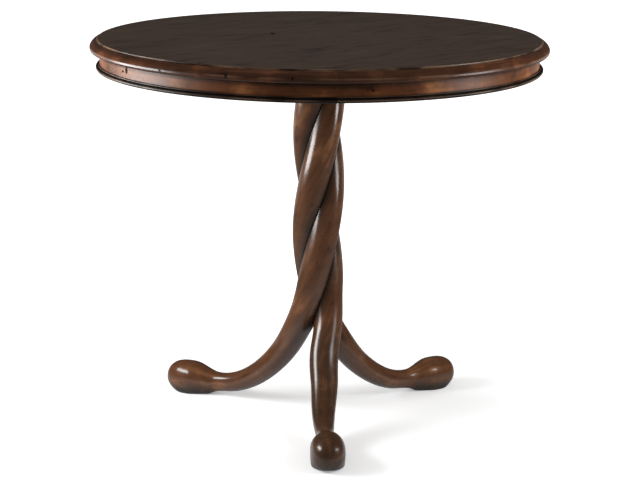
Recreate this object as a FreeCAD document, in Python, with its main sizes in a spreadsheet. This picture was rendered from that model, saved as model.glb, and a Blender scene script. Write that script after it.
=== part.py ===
import FreeCAD, Part
import math
import os
import re
import Sketcher

# Round lamp table: a plank top with a moulded edge and a beaded apron, carried by three
# twisted legs that wind round each other as a column and run down into club feet.
# Millimetres. The origin is on the floor under the column, +Z is up, the front foot is towards -Y.

board_count = 6
ring_segments = 2
glue_block_count = 12
block_screw_count = 4

driving = {
    # whole table
    "table_height": 660,
    "top_diameter": 762,
    "glue_gap": 0.1,
    # plank top
    "board_thickness": 20,
    "board_angle": 42,
    "board_bevel": 0.6,
    "spline_thickness": 5,
    "spline_width": 20,
    "spline_stop": 40,
    # moulded edge
    "edge_width": 14,
    "edge_tongue_thickness": 6,
    "edge_tongue_depth": 6,
    "edge_flat": 1.2,
    "edge_step": 2,
    "edge_quirk": 1,
    "ovolo_drop": 11,
    "ovolo_fullness": 0.74,
    "lip_band": 1.8,
    "under_round_width": 4.5,
    "under_round_fullness": 0.76,
    # apron and its bead
    "edge_overhang": 16,
    "apron_thickness": 20,
    "apron_depth": 30,
    "bead_height": 7,
    "bead_fullness": 0.52,
    "bead_seat": 3.8,
    "bead_fillet_width": 2.4,
    "bead_fillet_height": 1.8,
    "glue_block_leg": 22,
    "glue_block_angle": 7,
    # battens and mounting block
    "cleat_width": 50,
    "cleat_thickness": 18,
    "cleat_end_room": 28,
    "cleat_end_bevel": 12,
    "cleat_block_room": 14,
    "block_diameter": 220,
    "block_thickness": 28,
    "block_bevel": 6,
    # wood screws
    "screw_diameter": 4.5,
    "screw_head_diameter": 9,
    "screw_head_depth": 3,
    "screw_bite": 12,
    "screw_clearance": 0.1,
    "block_screw_circle": 180,
    # twisted column
    "strand_offset": 17.4,
    "strand_radius": 26.5,
    "twist_pitch": 511,
    "twist_start": 119,
    "twist_runout": 136.4,
    "mating_end": 80,
    "mating_overrun": 2,
    "mating_spread": 1.4,
    "tenon_radius": 24,
    "tenon_clearance": 0.2,
    "tenon_recess": 1,
    # splay of the legs
    "splay_height": 233,
    "splay_hold": 0.522,
    "splay_sweep": 0.417,
    "thickness_taper": 1.11,
    "width_taper": 2.5,
    "neck_height": 24.3,
    "neck_thickness": 32.6,
    "neck_width": 27.8,
    # club feet and glides
    "foot_reach": 300,
    "foot_nose": 49,
    "foot_heel": 59.2,
    "foot_height": 54.6,
    "foot_width": 56.8,
    "foot_waist": 0.466,
    "foot_tip_height": 24,
    "foot_nose_power": 2.98,
    "foot_toe_power": 1.73,
    "sole_width": 54,
    "sole_run_in": 19.8,
    "sole_toe_power": 4.7,
    "glide_radius": 11,
    "glide_thickness": 3.5,
    "glide_proud": 1,
    "glide_clearance": 0.2,
}

derived = {
    "top_radius": "top_diameter / 2",
    "field_radius": "top_radius - edge_width",
    "board_underside": "table_height - board_thickness",
    "board_middle": "table_height - board_thickness / 2",
    "board_pitch": "2 * field_radius / %d" % board_count,
    "apron_radius": "top_radius - edge_overhang",
    "apron_inner_radius": "apron_radius - apron_thickness",
    "apron_bottom": "board_underside - apron_depth",
    "ring_gap_angle": "glue_gap / field_radius * 180 / pi",
    "hanger_top": "board_underside - glue_gap",
    "block_radius": "block_diameter / 2",
    "block_bottom": "hanger_top - block_thickness",
    "cleat_bottom": "hanger_top - cleat_thickness",
    "cleat_offset": "block_radius + cleat_block_room + cleat_width / 2",
    "cleat_corner_radius": "apron_inner_radius - cleat_end_room",
    "cleat_half_length": "sqrt(cleat_corner_radius ^ 2 - (cleat_offset + cleat_width / 2) ^ 2)",
    "leg_top": "block_bottom - glue_gap",
    "tenon_length": "block_thickness + glue_gap - tenon_recess",
    "mating_reach": "(strand_offset + strand_radius) * mating_spread",
    "mating_apex": "glue_gap / 2 / sin(60)",
    "foot_crown_reach": "foot_reach - foot_nose",
    "neck_reach": "foot_crown_reach - foot_heel",
}

doc = FreeCAD.newDocument("lamp_table")
sheet = doc.addObject("Spreadsheet::Sheet", "Sizes")
upright = FreeCAD.Vector(0, 0, 1)
nodes = []


def fill_sheet():
    row = 1
    for name, amount in driving.items():
        sheet.set("A%d" % row, name)
        sheet.set("B%d" % row, str(amount))
        sheet.setAlias("B%d" % row, name)
        row += 1
    for name, formula in derived.items():
        sheet.set("A%d" % row, name)
        sheet.set("B%d" % row, "=" + formula)
        sheet.setAlias("B%d" % row, name)
        row += 1
    doc.recompute()


def size(name):
    return float(sheet.get(name))


def bound(formula):
    # A formula in plain size names, as an expression that any object of the document can hold.
    known = set(driving) | set(derived)
    return re.sub("[a-z_]+", lambda word: "Sizes." * (word[0] in known) + word[0], formula)


def amount_of(formula):
    return float(sheet.evalExpression(bound(formula)))


def turned(degrees, offset=FreeCAD.Vector(0, 0, 0)):
    about_axis = FreeCAD.Placement(FreeCAD.Vector(0, 0, 0), FreeCAD.Rotation(upright, degrees))
    return about_axis.multiply(FreeCAD.Placement(offset, FreeCAD.Rotation()))


def keep(piece, name):
    piece.Label = name
    nodes.append(piece)
    return piece


def new_body(name, many=False):
    body = doc.addObject("PartDesign::Body", name)
    body.AllowCompound = many
    return body


def new_sketch(body, role):
    sketch = body.newObject("Sketcher::SketchObject", body.Name + "_outline")
    plane = next(part for part in body.Origin.OriginFeatures if part.Role == role)
    sketch.AttachmentSupport = (plane, [""])
    sketch.MapMode = "FlatFace"
    return sketch


def pin_point(sketch, edge, end, across, up):
    # Hold one end of an edge at two distances from the sketch's origin.
    for kind, formula in (("DistanceX", across), ("DistanceY", up)):
        where = amount_of(formula)
        index = sketch.addConstraint(Sketcher.Constraint(kind, -1, 1, edge, end, where))
        sketch.setExpression("Constraints[%d]" % index, bound(formula))


def draw_outline(sketch, corners):
    # Closed outline, anticlockwise. A corner is (across, up), with a third entry where the run to the
    # next corner is an arc that bulges outwards: the arc's radius as a multiple of its chord.
    first = sketch.GeometryCount
    points = [FreeCAD.Vector(amount_of(c[0]), amount_of(c[1]), 0) for c in corners]
    for index, corner in enumerate(corners):
        start = points[index]
        finish = points[(index + 1) % len(points)]
        if len(corner) == 2:
            sketch.addGeometry(Part.LineSegment(start, finish))
            continue
        chord = finish - start
        radius = amount_of(corner[2]) * chord.Length
        inward = FreeCAD.Vector(-chord.y, chord.x, 0).normalize()
        centre = (start + finish) * 0.5 + inward * math.sqrt(radius ** 2 - chord.Length ** 2 / 4)
        begin = math.atan2(start.y - centre.y, start.x - centre.x)
        end = math.atan2(finish.y - centre.y, finish.x - centre.x)
        circle = Part.Circle(centre, upright, radius)
        sketch.addGeometry(Part.ArcOfCircle(circle, begin, end))
    count = len(corners)
    for index, corner in enumerate(corners):
        following = corners[(index + 1) % count]
        here = first + index
        sketch.addConstraint(Sketcher.Constraint("Coincident", here, 2, first + (index + 1) % count, 1))
        pin_point(sketch, here, 1, corner[0], corner[1])
        if len(corner) == 3:
            spans = [following[axis] + " - ( " + corner[axis] + " )" for axis in (0, 1)]
            chord = "sqrt( ( %s ) ^ 2 + ( %s ) ^ 2 )" % tuple(spans)
            radius = sketch.Geometry[here].Radius
            held = sketch.addConstraint(Sketcher.Constraint("Radius", here, radius))
            sketch.setExpression("Constraints[%d]" % held, bound(corner[2] + " * " + chord))


def draw_rectangle(sketch, middle, half_span, up_middle, half_rise):
    left = "( %s ) - ( %s )" % (middle, half_span)
    right = "( %s ) + ( %s )" % (middle, half_span)
    low = "( %s ) - ( %s )" % (up_middle, half_rise)
    high = "( %s ) + ( %s )" % (up_middle, half_rise)
    draw_outline(sketch, [(left, low), (right, low), (right, high), (left, high)])


def revolve(body, sketch, degrees, axis="V_Axis"):
    turn = body.newObject("PartDesign::Revolution", body.Name + "_turn")
    turn.Profile = sketch
    turn.ReferenceAxis = (sketch, [axis])
    turn.Midplane = True
    turn.setExpression("Angle", bound(degrees))
    return turn


def pad_both_ways(body, sketch, length):
    pad = body.newObject("PartDesign::Pad", body.Name + "_pad")
    pad.Profile = sketch
    pad.SideType = "Symmetric"
    pad.setExpression("Length", bound(length))
    return pad


def polar_copies(body, feature, count):
    pattern = body.newObject("PartDesign::PolarPattern", body.Name + "_ring")
    pattern.Originals = [feature]
    axis = next(part for part in body.Origin.OriginFeatures if part.Role == "Z_Axis")
    pattern.Axis = (axis, [""])
    pattern.Angle = 360
    pattern.Occurrences = count
    body.Tip = pattern
    return pattern


def boolean(kind, name, base, tool):
    result = doc.addObject(kind, name)
    result.Base = base
    result.Tool = tool
    return result


def make_ring(name, corners, first_angle):
    # One outline turned into equal curved lengths that butt end to end round the table.
    step = 360 / ring_segments
    for index in range(ring_segments):
        body = new_body("%s_%d" % (name, index + 1))
        sketch = new_sketch(body, "XZ_Plane")
        draw_outline(sketch, corners)
        revolve(body, sketch, "360 / %d - ring_gap_angle" % ring_segments)
        body.Placement = turned(first_angle + index * step)
        keep(body, body.Name)


def make_edge_mouldings():
    # Flat and step beside the field, quarter round out to the lip, rounded underside, tongue at the back.
    seat = "field_radius + glue_gap"
    tongue_end = "field_radius + glue_gap - edge_tongue_depth"
    tongue_low = "board_middle - edge_tongue_thickness / 2"
    tongue_high = "board_middle + edge_tongue_thickness / 2"
    step_level = "table_height - edge_step"
    lip = "table_height - edge_step - ovolo_drop"
    make_ring("edge_moulding", [
        (seat, "board_underside"),
        ("top_radius - under_round_width", "board_underside", "under_round_fullness"),
        ("top_radius", lip + " - lip_band"),
        ("top_radius", lip, "ovolo_fullness"),
        ("field_radius + edge_flat + edge_quirk", step_level),
        ("field_radius + edge_flat", step_level),
        ("field_radius + edge_flat", "table_height"),
        (seat, "table_height"),
        (seat, tongue_high),
        (tongue_end, tongue_high),
        (tongue_end, tongue_low),
        (seat, tongue_low),
    ], 0)


def make_aprons():
    half_step = 180 / ring_segments
    make_ring("apron_segment", [
        ("apron_inner_radius", "apron_bottom"),
        ("apron_radius", "apron_bottom"),
        ("apron_radius", "hanger_top"),
        ("apron_inner_radius", "hanger_top"),
    ], half_step)


def make_beads():
    # Half-round bead with a small fillet above it, glued round the foot of the apron.
    seat = "apron_radius + glue_gap"
    bead_face = "apron_radius + bead_seat"
    bead_top = "apron_bottom + bead_height"
    fillet_face = "apron_radius + bead_fillet_width"
    make_ring("apron_bead", [
        (seat, "apron_bottom"),
        (bead_face, "apron_bottom", "bead_fullness"),
        (bead_face, bead_top),
        (fillet_face, bead_top),
        (fillet_face, bead_top + " + bead_fillet_height"),
        (seat, bead_top + " + bead_fillet_height"),
    ], 0)


def draw_screw(sketch, axis_at, head_at, room):
    # Wood screw with a flat head, head down: half outline against its axis, and the axis itself.
    head = "%s + screw_head_diameter / 2 + %s" % (axis_at, room)
    shank = "%s + screw_diameter / 2 + %s" % (axis_at, room)
    low = "%s - %s" % (head_at, room)
    neck = "%s + screw_head_depth + %s" % (head_at, room)
    high = "board_underside + screw_bite + %s" % room
    draw_outline(sketch, [(axis_at, low), (head, low), (head, neck), (shank, neck), (shank, high), (axis_at, high)])
    start = FreeCAD.Vector(amount_of(axis_at), amount_of(low), 0)
    finish = FreeCAD.Vector(amount_of(axis_at), amount_of(high), 0)
    axis = sketch.addGeometry(Part.LineSegment(start, finish), True)
    pin_point(sketch, axis, 1, axis_at, low)
    pin_point(sketch, axis, 2, axis_at, high)


def make_block_screws(name, room):
    body = new_body(name, many=True)
    sketch = new_sketch(body, "XZ_Plane")
    draw_screw(sketch, "block_screw_circle / 2", "block_bottom", room)
    polar_copies(body, revolve(body, sketch, "360", "Axis0"), block_screw_count)
    body.Placement = turned(size("board_angle") + 180 / block_screw_count)
    return body


def make_cleat_screws(name, room):
    # Two rows of screws, one screw for each board that the batten crosses in full.
    crossed = board_count - 2
    body = new_body(name, many=True)
    sketch = new_sketch(body, "XZ_Plane")
    draw_screw(sketch, "0 - cleat_offset", "cleat_bottom", room)
    sketch.setExpression("AttachmentOffset.Base.z", bound("board_pitch * %g" % ((crossed - 1) / 2)))
    first = revolve(body, sketch, "360", "Axis0")
    grid = body.newObject("PartDesign::LinearPattern", name + "_grid")
    grid.Originals = [first]
    axes = {part.Role: part for part in body.Origin.OriginFeatures}
    grid.Direction = (axes["Y_Axis"], [""])
    grid.setExpression("Length", bound("board_pitch * %d" % (crossed - 1)))
    grid.Occurrences = crossed
    grid.Direction2 = (axes["X_Axis"], [""])
    grid.setExpression("Length2", bound("cleat_offset * 2"))
    grid.Occurrences2 = 2
    body.Tip = grid
    body.Placement = turned(size("board_angle"))
    return body


def spline_rectangles(sketch, half_width, stop):
    # One stopped slot along each joint between two boards, shorter towards the rim of the disc.
    for joint in range(1, board_count):
        across = "board_pitch * %g" % (joint - board_count / 2)
        half_chord = "sqrt( field_radius ^ 2 - ( %s ) ^ 2 )" % across
        draw_rectangle(sketch, "0", "%s - %s" % (half_chord, stop), across, half_width)


def make_board_blank():
    # The whole field as one disc, with the rim groove and the slots along the joints.
    body = new_body("board_blank")
    groove_floor = "field_radius - edge_tongue_depth"
    groove_low = "board_middle - edge_tongue_thickness / 2 - glue_gap"
    groove_high = "board_middle + edge_tongue_thickness / 2 + glue_gap"
    sketch = new_sketch(body, "XZ_Plane")
    draw_outline(sketch, [
        ("0", "board_underside"),
        ("field_radius", "board_underside"),
        ("field_radius", groove_low),
        (groove_floor, groove_low),
        (groove_floor, groove_high),
        ("field_radius", groove_high),
        ("field_radius", "table_height"),
        ("0", "table_height"),
    ])
    revolve(body, sketch, "360")
    doc.recompute()
    whole = body.Shape.Volume
    slots = new_sketch(body, "XY_Plane")
    slots.setExpression("AttachmentOffset.Base.z", bound("board_middle"))
    spline_rectangles(slots, "spline_width / 2 + glue_gap", "( spline_stop - glue_gap )")
    pocket = body.newObject("PartDesign::Pocket", "board_blank_slots")
    pocket.Profile = slots
    pocket.SideType = "Symmetric"
    pocket.setExpression("Length", bound("spline_thickness + glue_gap * 2"))
    doc.recompute()
    if body.Shape.Volume >= whole:
        raise RuntimeError("the slots along the joints cut nothing")
    body.Placement = turned(size("board_angle"))
    return body


def make_boards(drills):
    blank = make_board_blank()
    for drill in drills:
        blank = boolean("Part::Cut", "drilled_by_" + drill.Name, blank, drill)
    for index in range(board_count):
        name = "top_board_%d" % (index + 1)
        stave = new_body(name + "_stave")
        sketch = new_sketch(stave, "YZ_Plane")
        left = "board_pitch * %g + glue_gap / 2" % (index - board_count / 2)
        right = "board_pitch * %g - glue_gap / 2" % (index + 1 - board_count / 2)
        shoulder = "table_height - board_bevel"
        draw_outline(sketch, [
            (left, "board_underside"),
            (right, "board_underside"),
            (right, shoulder),
            (right + " - board_bevel", "table_height"),
            (left + " + board_bevel", "table_height"),
            (left, shoulder),
        ])
        pad_both_ways(stave, sketch, "top_diameter")
        stave.Placement = turned(size("board_angle"))
        keep(boolean("Part::Common", name, blank, stave), name)


def make_splines():
    body = new_body("board_splines", many=True)
    sketch = new_sketch(body, "XY_Plane")
    sketch.setExpression("AttachmentOffset.Base.z", bound("board_middle"))
    spline_rectangles(sketch, "spline_width / 2", "spline_stop")
    pad_both_ways(body, sketch, "spline_thickness")
    body.Placement = turned(size("board_angle"))
    keep(body, "board_splines")


def make_glue_blocks():
    # Three-cornered blocks in the corner between the apron's back and the boards.
    body = new_body("glue_blocks", many=True)
    sketch = new_sketch(body, "XZ_Plane")
    back = "apron_inner_radius - glue_gap"
    draw_outline(sketch, [
        (back + " - glue_block_leg", "hanger_top"),
        (back, "hanger_top - glue_block_leg"),
        (back, "hanger_top"),
    ])
    polar_copies(body, revolve(body, sketch, "glue_block_angle"), glue_block_count)
    body.Placement = turned(180 / glue_block_count)
    keep(body, "glue_blocks")


def make_cleats(drill):
    # Battens across the boards, with their lower ends bevelled.
    for name, side in (("cleat_left", -1), ("cleat_right", 1)):
        body = new_body(name + "_batten")
        sketch = new_sketch(body, "YZ_Plane")
        sketch.setExpression("AttachmentOffset.Base.z", bound("cleat_offset * %d" % side))
        heel = "cleat_bottom + cleat_end_bevel"
        draw_outline(sketch, [
            ("cleat_end_bevel - cleat_half_length", "cleat_bottom"),
            ("cleat_half_length - cleat_end_bevel", "cleat_bottom"),
            ("cleat_half_length", heel),
            ("cleat_half_length", "hanger_top"),
            ("0 - cleat_half_length", "hanger_top"),
            ("0 - cleat_half_length", heel),
        ])
        pad_both_ways(body, sketch, "cleat_width")
        body.Placement = turned(size("board_angle"))
        keep(boolean("Part::Cut", name, body, drill), name)


def make_mounting_block(drill):
    body = new_body("mounting_block_blank")
    sketch = new_sketch(body, "XZ_Plane")
    bore = "tenon_radius + tenon_clearance"
    draw_outline(sketch, [
        (bore, "block_bottom"),
        ("block_radius - block_bevel", "block_bottom"),
        ("block_radius", "block_bottom + block_bevel"),
        ("block_radius", "hanger_top"),
        (bore, "hanger_top"),
    ])
    revolve(body, sketch, "360")
    keep(boolean("Part::Cut", "mounting_block", body, drill), "mounting_block")


# The legs. Each strand is one bar: its middle line keeps a fixed offset from the column's axis while it
# winds up, then sweeps out to the neck of the foot on a cubic curve. The bar is oval all round and is
# then cut back to the strand's own third of the column, so that the three strands meet on faces that
# wind with them. A section runs from its crown to one flank, the lower corner and the sole, and back.

wedge = math.radians(60)
section_marks = [math.radians(mark) for mark in (0, 90, 150, 210, 270, 360)]
column_sections = 10
splay_sections = 11
heel_sections = 4
nose_sections = 4
nose_crowding = 1.3
sweep_fineness = 240
mating_sections = 44
mating_corners = 6
neck_sole_share = 0.56
toe_sole_share = 0.12


def smoothstep(share):
    return share ** 2 * (3 - 2 * share)


def twist_at(height):
    # Angle of a strand about the column's axis, counted from its own foot. The twist runs out to nothing
    # on a parabola below the column.
    rate = 2 * math.pi / size("twist_pitch")
    reach = size("twist_runout")
    above = height - (size("twist_start") - reach / 2)
    if above <= 0:
        return 0.0
    if above < reach:
        return rate * above ** 2 / (2 * reach)
    return rate * (height - size("twist_start"))


def heading(angle):
    return FreeCAD.Vector(math.cos(angle), math.sin(angle), 0)


def bezier(share, knots):
    back = 1 - share
    weights = (back ** 3, 3 * back ** 2 * share, 3 * back * share ** 2, share ** 3)
    return sum(weight * knot for weight, knot in zip(weights, knots))


def bezier_slope(share, knots):
    back = 1 - share
    steps = [knots[index + 1] - knots[index] for index in range(3)]
    return 3 * (back ** 2 * steps[0] + 2 * back * share * steps[1] + share ** 2 * steps[2])


def arc_poles(centre, along, beside, start, finish):
    # Four poles of a cubic that follows centre + along * cos + beside * sin from one angle to another.
    pull = 4 / 3 * math.tan((finish - start) / 4)
    first = centre + along * math.cos(start) + beside * math.sin(start)
    last = centre + along * math.cos(finish) + beside * math.sin(finish)
    leaving = beside * math.cos(start) - along * math.sin(start)
    arriving = beside * math.cos(finish) - along * math.sin(finish)
    return [first, first + leaving * pull, last - arriving * pull, last]


def section_wire(reach, height, lean, twist, runs):
    # A run holds the poles of one edge as (towards the crown, sideways).
    crown = heading(twist) * math.cos(lean) + upright * math.sin(lean)
    sideways = heading(twist + math.pi / 2)
    middle = heading(twist) * reach + upright * height
    edges = []
    for run in runs:
        curve = Part.BezierCurve()
        curve.setPoles([middle + crown * pole.x + sideways * pole.y for pole in run])
        edges.append(curve.toShape())
    return Part.Wire(edges)


def strand_wire(reach, height, lean, thick, wide):
    # Oval section. Its marks keep their direction while the strand winds.
    twist = twist_at(height)
    runs = []
    for start, finish in zip(section_marks, section_marks[1:]):
        runs.append(arc_poles(FreeCAD.Vector(0, 0, 0), FreeCAD.Vector(thick, 0, 0),
                              FreeCAD.Vector(0, wide, 0), start - twist, finish - twist))
    return section_wire(reach, height, lean, twist, runs)


def column_wires():
    top = size("leg_top")
    drop = top - size("splay_height")
    radius = size("strand_radius")
    heights = [top - drop * step / column_sections for step in range(column_sections + 1)]
    return [strand_wire(size("strand_offset"), height, 0, radius, radius) for height in heights]


def splay_wires():
    # Even steps along the sweep from the column to the neck, square to the sweep.
    inner = size("strand_offset")
    outer = size("neck_reach")
    high = size("splay_height")
    low = size("neck_height")
    reaches = (inner, inner, outer - size("splay_sweep") * (outer - inner), outer)
    heights = (high, high - size("splay_hold") * (high - low), low, low)
    fine = [step / sweep_fineness for step in range(sweep_fineness + 1)]
    points = [FreeCAD.Vector(bezier(share, reaches), 0, bezier(share, heights)) for share in fine]
    lengths = [0.0]
    for here, following in zip(points, points[1:]):
        lengths.append(lengths[-1] + (following - here).Length)
    thinning = size("strand_radius") - size("neck_thickness") / 2
    narrowing = size("strand_radius") - size("neck_width") / 2
    wires = []
    for step in range(1, splay_sections + 1):
        along = step / splay_sections
        index = min(range(len(lengths)), key=lambda place: abs(lengths[place] - along * lengths[-1]))
        lean = math.atan2(bezier_slope(fine[index], reaches), -bezier_slope(fine[index], heights))
        thick = size("strand_radius") - thinning * along ** size("thickness_taper")
        wide = size("strand_radius") - narrowing * along ** size("width_taper")
        wires.append(strand_wire(points[index].x, points[index].z, lean, thick, wide))
    return wires


def foot_runs(top, bottom, waist, half_width, half_sole):
    # Dome above the waist, tall rounded corners below it, flat sole.
    square = math.pi / 2
    rise = FreeCAD.Vector(top - waist, 0, 0)
    drop = FreeCAD.Vector(bottom - waist, 0, 0)
    flank = FreeCAD.Vector(0, half_width, 0)
    corner = FreeCAD.Vector(0, half_width - half_sole, 0)
    centre = FreeCAD.Vector(waist, 0, 0)
    right = FreeCAD.Vector(waist, half_sole, 0)
    left = FreeCAD.Vector(waist, -half_sole, 0)
    sole = [FreeCAD.Vector(bottom, half_sole * share, 0) for share in (1, 1 / 3, -1 / 3, -1)]
    return [
        arc_poles(centre, rise, flank, 0, square),
        arc_poles(right, corner, drop, 0, square),
        sole,
        arc_poles(left, drop, -corner, 0, square),
        arc_poles(centre, -flank, rise, 0, square),
    ]


def foot_section(reach, swell, close):
    # swell runs from 0 at the neck to 1 at the crown, close from 1 at the crown to 0 at the tip.
    sole = size("glide_proud")
    tip = size("foot_tip_height")
    neck_top = size("neck_height") + size("neck_thickness") / 2
    neck_low = size("neck_height") - size("neck_thickness") / 2
    half_width = (size("neck_width") + (size("foot_width") - size("neck_width")) * swell) / 2 * close
    top = tip + (neck_top + (size("foot_height") - neck_top) * swell - tip) * close
    run_in = min(1.0, (reach - size("neck_reach")) / size("sole_run_in"))
    bottom = neck_low + (sole - neck_low) * smoothstep(run_in)
    bottom += (tip - bottom) * (1 - close) ** size("foot_toe_power")
    waist = bottom + (top - bottom) * size("foot_waist")
    sole_share = neck_sole_share + (1 - neck_sole_share) * swell
    sole_share *= toe_sole_share + (1 - toe_sole_share) * close ** size("sole_toe_power")
    half_sole = half_width * size("sole_width") / size("foot_width") * sole_share
    return section_wire(reach, 0, math.pi / 2, 0, foot_runs(top, bottom, waist, half_width, half_sole))


def heel_wires():
    wires = []
    for step in range(1, heel_sections + 1):
        share = step / heel_sections
        reach = size("neck_reach") + size("foot_heel") * share
        wires.append(foot_section(reach, smoothstep(share), 1.0))
    return wires


def nose_wires():
    # Sections from the crown to just short of the tip, closer together where the nose turns down.
    wires = []
    for step in range(nose_sections + 1):
        share = step / (nose_sections + 1)
        angle = math.pi / 2 * (1 - (1 - share) ** nose_crowding)
        run = math.sin(angle) ** (2 / size("foot_nose_power"))
        wires.append(foot_section(size("foot_crown_reach") + size("foot_nose") * run, 1.0, math.cos(angle)))
    return wires


def neighbours():
    # The two thirds of the column that belong to the other strands, winding with them: a solid between
    # rings of six corners, each strip split along the same diagonal.
    top = size("leg_top") + size("mating_overrun")
    drop = top - size("mating_end")
    rings = []
    for step in range(mating_sections + 1):
        height = top - drop * step / mating_sections
        twist = twist_at(height)
        apex = heading(twist) * size("mating_apex") + upright * height
        spokes = [heading(twist + turn * wedge) * size("mating_reach") for turn in range(1, mating_corners)]
        rings.append([apex] + [apex + spoke for spoke in spokes])
    outlines = [rings[0], rings[-1]]
    for upper, lower in zip(rings, rings[1:]):
        for here in range(mating_corners):
            beyond = (here + 1) % mating_corners
            inner, outer = (beyond, here) if beyond == 0 else (here, beyond)
            outlines.append([upper[inner], upper[outer], lower[outer]])
            outlines.append([upper[inner], lower[outer], lower[inner]])
    faces = [Part.Face(Part.makePolygon(outline + outline[:1])) for outline in outlines]
    return Part.Solid(Part.Shell(faces))


def make_leg_shape():
    tip = FreeCAD.Vector(size("foot_reach"), 0, size("foot_tip_height"))
    bar = Part.makeLoft(column_wires() + splay_wires() + heel_wires(), True, True).cut(neighbours())
    nose = Part.makeLoft(nose_wires() + [Part.Vertex(tip)], True, True)
    top = size("leg_top")
    twist = twist_at(top)
    bore_wall = Part.makeCylinder(size("tenon_radius"), size("tenon_length"), upright * top)
    sector = Part.makeCylinder(size("tenon_radius"), size("tenon_length"), upright * top, upright,
                               math.degrees(2 * wedge))
    sector.rotate(FreeCAD.Vector(0, 0, 0), upright, math.degrees(twist - wedge))
    sector.translate(heading(twist) * size("mating_apex"))
    shape = bar.fuse([nose, sector.common(bore_wall)])
    glide_at = FreeCAD.Vector(size("foot_crown_reach"), 0, 0)
    room = size("glide_clearance")
    recess = Part.makeCylinder(size("glide_radius") + room, size("glide_thickness") + room, glide_at)
    return shape.cut(recess)


feet = (("front", -90), ("right", 30), ("left", 150))


def make_legs():
    shape = make_leg_shape()
    for name, angle in feet:
        leg = keep(doc.addObject("Part::Feature", "leg_" + name), "leg_" + name)
        leg.Shape = shape
        leg.Placement = turned(angle)


def make_glides():
    # Plastic disc let into the sole of each foot.
    for name, angle in feet:
        glide = keep(doc.addObject("Part::Cylinder", "glide_" + name), "glide_" + name)
        glide.setExpression("Radius", bound("glide_radius"))
        glide.setExpression("Height", bound("glide_thickness"))
        glide.Placement = turned(angle, FreeCAD.Vector(size("foot_crown_reach"), 0, 0))


def check_document():
    for piece in doc.Objects:
        if "Invalid" in piece.State or "Error" in piece.State:
            raise RuntimeError("%s did not build: %s" % (piece.Name, piece.State))
    for node in nodes:
        if node.Shape.isNull() or not node.Shape.isValid() or not node.Shape.Solids:
            raise RuntimeError("%s has no valid solid" % node.Label)


def write_parts():
    os.makedirs("parts", exist_ok=True)
    for node in nodes:
        node.Shape.exportStep(os.path.join("parts", node.Label + ".step"))
    print("%d nodes, %d solids" % (len(nodes), sum(len(node.Shape.Solids) for node in nodes)))


def main():
    fill_sheet()
    block_drills = make_block_screws("block_drills", "screw_clearance")
    cleat_drills = make_cleat_screws("cleat_drills", "screw_clearance")
    make_boards([block_drills, cleat_drills])
    make_splines()
    make_edge_mouldings()
    make_aprons()
    make_beads()
    make_glue_blocks()
    make_cleats(cleat_drills)
    make_mounting_block(block_drills)
    keep(make_block_screws("block_screws", "0"), "block_screws")
    keep(make_cleat_screws("cleat_screws", "0"), "cleat_screws")
    make_legs()
    make_glides()
    doc.recompute()
    check_document()
    write_parts()


main()
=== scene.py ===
import bpy
import numpy as np
from mathutils import Matrix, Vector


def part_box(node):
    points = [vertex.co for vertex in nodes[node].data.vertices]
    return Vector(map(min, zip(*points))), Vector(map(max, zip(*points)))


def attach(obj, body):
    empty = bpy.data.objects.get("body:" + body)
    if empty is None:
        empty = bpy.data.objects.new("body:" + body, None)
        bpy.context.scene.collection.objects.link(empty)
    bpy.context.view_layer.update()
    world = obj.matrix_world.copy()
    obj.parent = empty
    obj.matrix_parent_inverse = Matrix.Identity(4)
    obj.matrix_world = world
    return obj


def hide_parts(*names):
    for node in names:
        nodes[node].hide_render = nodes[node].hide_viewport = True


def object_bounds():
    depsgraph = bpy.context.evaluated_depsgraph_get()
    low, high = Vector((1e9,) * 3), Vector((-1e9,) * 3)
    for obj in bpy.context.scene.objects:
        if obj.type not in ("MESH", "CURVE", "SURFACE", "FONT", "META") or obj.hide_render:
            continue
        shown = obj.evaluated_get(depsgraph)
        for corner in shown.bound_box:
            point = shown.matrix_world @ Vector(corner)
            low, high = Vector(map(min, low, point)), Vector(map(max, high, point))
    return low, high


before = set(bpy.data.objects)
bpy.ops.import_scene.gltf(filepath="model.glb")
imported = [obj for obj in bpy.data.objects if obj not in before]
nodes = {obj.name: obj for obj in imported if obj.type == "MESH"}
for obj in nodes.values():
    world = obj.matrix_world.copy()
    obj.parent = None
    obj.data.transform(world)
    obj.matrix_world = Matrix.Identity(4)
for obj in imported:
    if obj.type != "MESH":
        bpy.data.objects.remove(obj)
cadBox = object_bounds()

# Dark antiqued lamp table: plank top, moulded edge, beaded apron, and three legs twisted into a
# rope column. Metres, floor at z 0, front foot towards -Y. Colours are written as they look on
# screen, 0 to 255.

glueLine = 0.0001
creaseAngle = 0.7  # radians between two faces, past which their edge is sharp


def stain(red, green, blue):  # screen colour to linear
    c = np.array([red, green, blue]) / 255
    linear = np.where(c <= 0.04045, c / 12.92, ((c + 0.055) / 1.055) ** 2.4)
    return (*linear.tolist(), 1.0)


def plainGrey(level):
    return (level, level, level, 1)


def smoothStep(x):  # 0 below 0, 1 above 1, an even S between
    x = np.clip(x, 0, 1)
    return x * x * (3 - 2 * x)


def bell(x):  # 1 at 0, falling away on both sides
    return np.exp(-x ** 2)


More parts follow.
